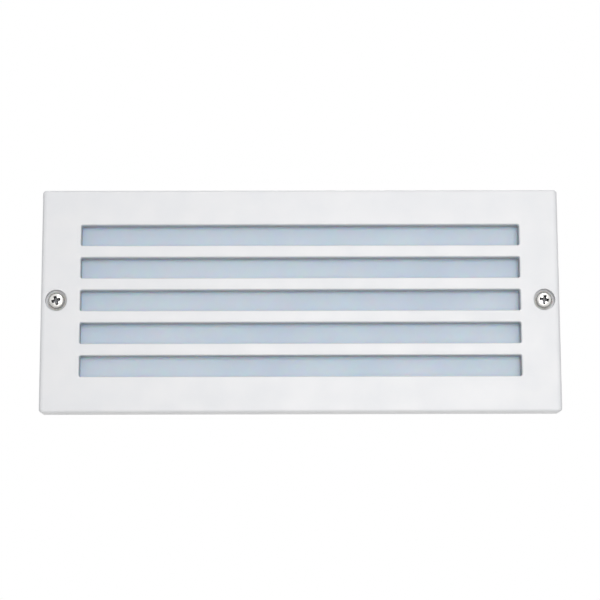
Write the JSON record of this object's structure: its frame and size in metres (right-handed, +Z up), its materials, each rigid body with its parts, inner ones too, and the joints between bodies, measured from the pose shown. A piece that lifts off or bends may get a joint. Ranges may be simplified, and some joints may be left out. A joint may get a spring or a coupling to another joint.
{
  "type": "recessed step light",
  "caption": "Rectangular louvred step light: white cast faceplate over a frosted pane and a wall-recessed box with a screw-in lamp.",
  "frame": {"origin": "centre of the wall opening, on the wall surface", "axes": "+X to the right seen from the front, +Y into the wall, +Z up; the front faces -Y"},
  "size_m": [0.254, 0.092, 0.11],
  "materials": {
    "powder_coat": "fine white powder coat",
    "cast_aluminium": "as-cast, satin",
    "frosted_glass": "acid frosted",
    "silicone": "matte",
    "stainless": "bright, passivated",
    "spring_steel": "satin",
    "zinc_steel": "zinc plated",
    "bright_aluminium": "bright rolled sheet",
    "porcelain": "glazed",
    "brass": "plain",
    "nickel_plate": "nickel plated",
    "black_plastic": "moulded",
    "white_plastic": "moulded",
    "opal_plastic": "opal, satin",
    "circuit_board": "white solder mask",
    "driver_board": "green solder mask",
    "phosphor": "clear resin over phosphor",
    "natural_nylon": "moulded",
    "block_plastic": "moulded",
    "brown_lead": "soft vinyl",
    "blue_lead": "soft vinyl",
    "green_yellow_lead": "soft vinyl, green with a yellow stripe"
  },
  "bodies": {
    "housing": {"housing": "cast_aluminium", "body_gasket": "silicone", "reflector": "bright_aluminium", "reflector_screws": "zinc_steel", "lampholder_bracket": "zinc_steel", "bracket_screws": "zinc_steel", "lampholder_body": "porcelain", "lampholder_thread_shell": "brass", "lampholder_centre_contact": "brass", "lampholder_terminals": "brass", "lampholder_screws": "zinc_steel", "terminal_block": "block_plastic", "terminal_tubes": "brass", "terminal_clamp_screws": "zinc_steel", "terminal_block_screws": "zinc_steel", "earth_ring_terminal": "nickel_plate", "earth_washer": "zinc_steel", "earth_screw": "brass", "live_lead": "brown_lead", "neutral_lead": "blue_lead", "earth_lead": "green_yellow_lead"},
    "faceplate": {"faceplate": "powder_coat", "glass_lens": "frosted_glass", "lens_gasket": "silicone", "lens_clips": "spring_steel", "lens_clip_screws": "stainless"},
    "screw_washer_left": {"screw_washer_left": "natural_nylon"},
    "screw_washer_right": {"screw_washer_right": "natural_nylon"},
    "face_screw_left": {"face_screw_left": "stainless"},
    "face_screw_right": {"face_screw_right": "stainless"},
    "plug_seal": {"plug_seal": "silicone"},
    "blanking_plug": {"blanking_plug": "cast_aluminium"},
    "lamp_tip_contact": {"lamp_tip_contact": "nickel_plate"},
    "lamp": {"lamp_cap_insulator": "black_plastic", "lamp_cap": "nickel_plate", "lamp_body": "white_plastic", "lamp_driver_board": "driver_board", "lamp_source_board": "circuit_board", "lamp_source_chips": "phosphor", "lamp_globe": "opal_plastic"}
  },
  "joints": [
    {"name": "faceplate_lift", "type": "slide", "parent": "housing", "child": "faceplate", "axis": [0, -1, 0], "range_m": [0, 0.12]},
    {"name": "left_screw_travel", "type": "slide", "parent": "faceplate", "child": "screw_washer_left", "axis": [0, -1, 0], "range_m": [0, 0.0091]},
    {"name": "left_screw_turn", "type": "hinge", "parent": "screw_washer_left", "child": "face_screw_left", "pos_m": [-0.1195, -0.009, 0], "axis": [0, -1, 0], "range_deg": [0, 4681]},
    {"name": "right_screw_travel", "type": "slide", "parent": "faceplate", "child": "screw_washer_right", "axis": [0, -1, 0], "range_m": [0, 0.0091]},
    {"name": "right_screw_turn", "type": "hinge", "parent": "screw_washer_right", "child": "face_screw_right", "pos_m": [0.1195, -0.009, 0], "axis": [0, -1, 0], "range_deg": [0, 4681]},
    {"name": "lamp_travel", "type": "slide", "parent": "housing", "child": "lamp_tip_contact", "axis": [-1, 0, 0], "range_m": [0, 0.02177]},
    {"name": "lamp_turn", "type": "hinge", "parent": "lamp_tip_contact", "child": "lamp", "pos_m": [0.054, 0.037, 0], "axis": [-1, 0, 0], "range_deg": [0, 2161]},
    {"name": "plug_travel", "type": "slide", "parent": "housing", "child": "plug_seal", "axis": [-1, 0, 0], "range_m": [0, 0.009]},
    {"name": "plug_turn", "type": "hinge", "parent": "plug_seal", "child": "blanking_plug", "pos_m": [-0.117, 0.032, 0], "axis": [-1, 0, 0], "range_deg": [0, 2161]}
  ],
  "couplings": [
    {"joint": "left_screw_turn", "follows": "left_screw_travel", "rad_per_m": 8976},
    {"joint": "right_screw_turn", "follows": "right_screw_travel", "rad_per_m": 8976},
    {"joint": "lamp_turn", "follows": "lamp_travel", "rad_per_m": 1731.4},
    {"joint": "plug_turn", "follows": "plug_travel", "rad_per_m": 4188.8}
  ]
}
